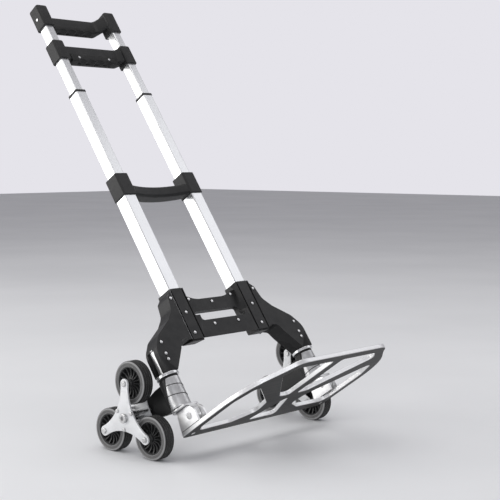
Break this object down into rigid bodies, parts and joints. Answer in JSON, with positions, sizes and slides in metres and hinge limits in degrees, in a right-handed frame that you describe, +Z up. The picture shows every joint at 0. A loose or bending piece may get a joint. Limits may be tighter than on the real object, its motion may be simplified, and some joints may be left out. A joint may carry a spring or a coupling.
{
  "type": "stair climbing trolley",
  "caption": "Folding hand truck with a telescopic double-tube handle, a window-cut toe plate and three-wheel stars that climb stairs.",
  "frame": {"origin": "on the floor, in the middle of the footprint of the trolley as it rolls, leant back on two wheels of each star", "axes": "+Z up; +Y towards the user, the side the handle leans to; -Y towards the toe plate's front edge; +X to the right as seen from the front"},
  "size_m": [0.5226, 0.7994, 0.8864],
  "materials": {
    "tube_aluminium": "satin anodised",
    "leg_aluminium": "satin",
    "bright_ring": "polished",
    "cast_aluminium": "cast, lightly machined",
    "spring_steel": "oiled dark",
    "carrier_plastic": "fine texture",
    "axle_steel": "zinc plated",
    "star_plate": "matt silver",
    "grip_plastic": "fine moulded grain",
    "tyre_rubber": "black tread, grey side wall",
    "rim_plastic": "moulded",
    "rivet_steel": "bright",
    "body_plastic": "fine moulded grain",
    "finger_pad": "soft, matt",
    "toe_aluminium": "brushed, bright edges"
  },
  "bodies": {
    "frame": {"outer_tube_left": "tube_aluminium", "outer_tube_right": "tube_aluminium", "outer_tube_pins": "rivet_steel", "tube_end_caps": "body_plastic", "mid_bracket": "grip_plastic", "body_front_shell": "body_plastic", "body_back_shell": "body_plastic", "body_rivets": "rivet_steel", "leg_tube_left": "leg_aluminium", "leg_tube_right": "leg_aluminium", "flange_rings": "bright_ring", "leg_washers": "body_plastic", "hinge_casting_left": "cast_aluminium", "hinge_casting_right": "cast_aluminium", "toe_hinge_pins": "axle_steel"},
    "mid_stage": {"mid_tube_left": "tube_aluminium", "mid_tube_right": "tube_aluminium", "mid_tube_pins": "rivet_steel", "collar_left": "grip_plastic", "collar_right": "grip_plastic"},
    "inner_stage": {"inner_tube_left": "tube_aluminium", "inner_tube_right": "tube_aluminium", "top_grip": "grip_plastic", "top_finger_pad": "finger_pad", "top_grip_rivets": "rivet_steel"},
    "release_handle": {"release_grip": "grip_plastic", "release_finger_pad": "finger_pad", "release_grip_screws": "rivet_steel", "release_rods": "axle_steel"},
    "toe": {"toe_plate": "toe_aluminium", "toe_hinge_ears": "toe_aluminium", "toe_plate_rivets": "rivet_steel"},
    "swing_left": {"swing_sleeve_left": "cast_aluminium", "axle_block_left": "carrier_plastic", "swing_spring_left": "spring_steel", "star_axle_left": "axle_steel"},
    "star_left": {"star_plate_outer_left": "star_plate", "star_plate_inner_left": "star_plate", "star_hub_left": "axle_steel", "star_bolts_left": "axle_steel"},
    "wheel_top_left": {"tyre_top_left": "tyre_rubber", "rim_top_left": "rim_plastic"},
    "wheel_front_left": {"tyre_front_left": "tyre_rubber", "rim_front_left": "rim_plastic"},
    "wheel_rear_left": {"tyre_rear_left": "tyre_rubber", "rim_rear_left": "rim_plastic"},
    "swing_right": {"swing_sleeve_right": "cast_aluminium", "axle_block_right": "carrier_plastic", "swing_spring_right": "spring_steel", "star_axle_right": "axle_steel"},
    "star_right": {"star_plate_outer_right": "star_plate", "star_plate_inner_right": "star_plate", "star_hub_right": "axle_steel", "star_bolts_right": "axle_steel"},
    "wheel_top_right": {"tyre_top_right": "tyre_rubber", "rim_top_right": "rim_plastic"},
    "wheel_front_right": {"tyre_front_right": "tyre_rubber", "rim_front_right": "rim_plastic"},
    "wheel_rear_right": {"tyre_rear_right": "tyre_rubber", "rim_rear_right": "rim_plastic"}
  },
  "joints": [
    {"name": "mid_slide", "type": "slide", "parent": "frame", "child": "mid_stage", "axis": [0, 0.5721, 0.8202], "range_m": [-0.204, 0]},
    {"name": "inner_slide", "type": "slide", "parent": "mid_stage", "child": "inner_stage", "axis": [0, 0.5721, 0.8202], "range_m": [-0.071, 0]},
    {"name": "release_squeeze", "type": "slide", "parent": "inner_stage", "child": "release_handle", "axis": [0, 0.5721, 0.8202], "range_m": [0, 0.02], "stiffness_N_per_m": 400, "springref_m": -0.02},
    {"name": "toe_fold", "type": "hinge", "parent": "frame", "child": "toe", "pos_m": [0, -0.19878, 0.08747], "axis": [-1, 0, 0], "range_deg": [0, 90]},
    {"name": "swing_left_fold", "type": "hinge", "parent": "frame", "child": "swing_left", "pos_m": [-0.196, -0.15002, 0.12417], "axis": [0, -0.5721, -0.8202], "range_deg": [0, 90]},
    {"name": "swing_right_fold", "type": "hinge", "parent": "frame", "child": "swing_right", "pos_m": [0.196, -0.15002, 0.12417], "axis": [0, 0.5721, 0.8202], "range_deg": [0, 90]},
    {"name": "star_left_spin", "type": "hinge", "parent": "swing_left", "child": "star_left", "pos_m": [-0.231, -0.07702, 0.07325], "axis": [1, 0, 0], "continuous": true},
    {"name": "wheel_top_left_spin", "type": "hinge", "parent": "star_left", "child": "wheel_top_left", "pos_m": [-0.231, -0.07702, 0.13775], "axis": [1, 0, 0], "continuous": true},
    {"name": "wheel_front_left_spin", "type": "hinge", "parent": "star_left", "child": "wheel_front_left", "pos_m": [-0.231, -0.13288, 0.041], "axis": [1, 0, 0], "continuous": true},
    {"name": "wheel_rear_left_spin", "type": "hinge", "parent": "star_left", "child": "wheel_rear_left", "pos_m": [-0.231, -0.02116, 0.041], "axis": [1, 0, 0], "continuous": true},
    {"name": "star_right_spin", "type": "hinge", "parent": "swing_right", "child": "star_right", "pos_m": [0.231, -0.07702, 0.07325], "axis": [1, 0, 0], "continuous": true},
    {"name": "wheel_top_right_spin", "type": "hinge", "parent": "star_right", "child": "wheel_top_right", "pos_m": [0.231, -0.07702, 0.13775], "axis": [1, 0, 0], "continuous": true},
    {"name": "wheel_front_right_spin", "type": "hinge", "parent": "star_right", "child": "wheel_front_right", "pos_m": [0.231, -0.13288, 0.041], "axis": [1, 0, 0], "continuous": true},
    {"name": "wheel_rear_right_spin", "type": "hinge", "parent": "star_right", "child": "wheel_rear_right", "pos_m": [0.231, -0.02116, 0.041], "axis": [1, 0, 0], "continuous": true}
  ],
  "couplings": [
    {"joint": "swing_left_fold", "follows": "toe_fold", "ratio": 1},
    {"joint": "swing_right_fold", "follows": "toe_fold", "ratio": 1}
  ]
}
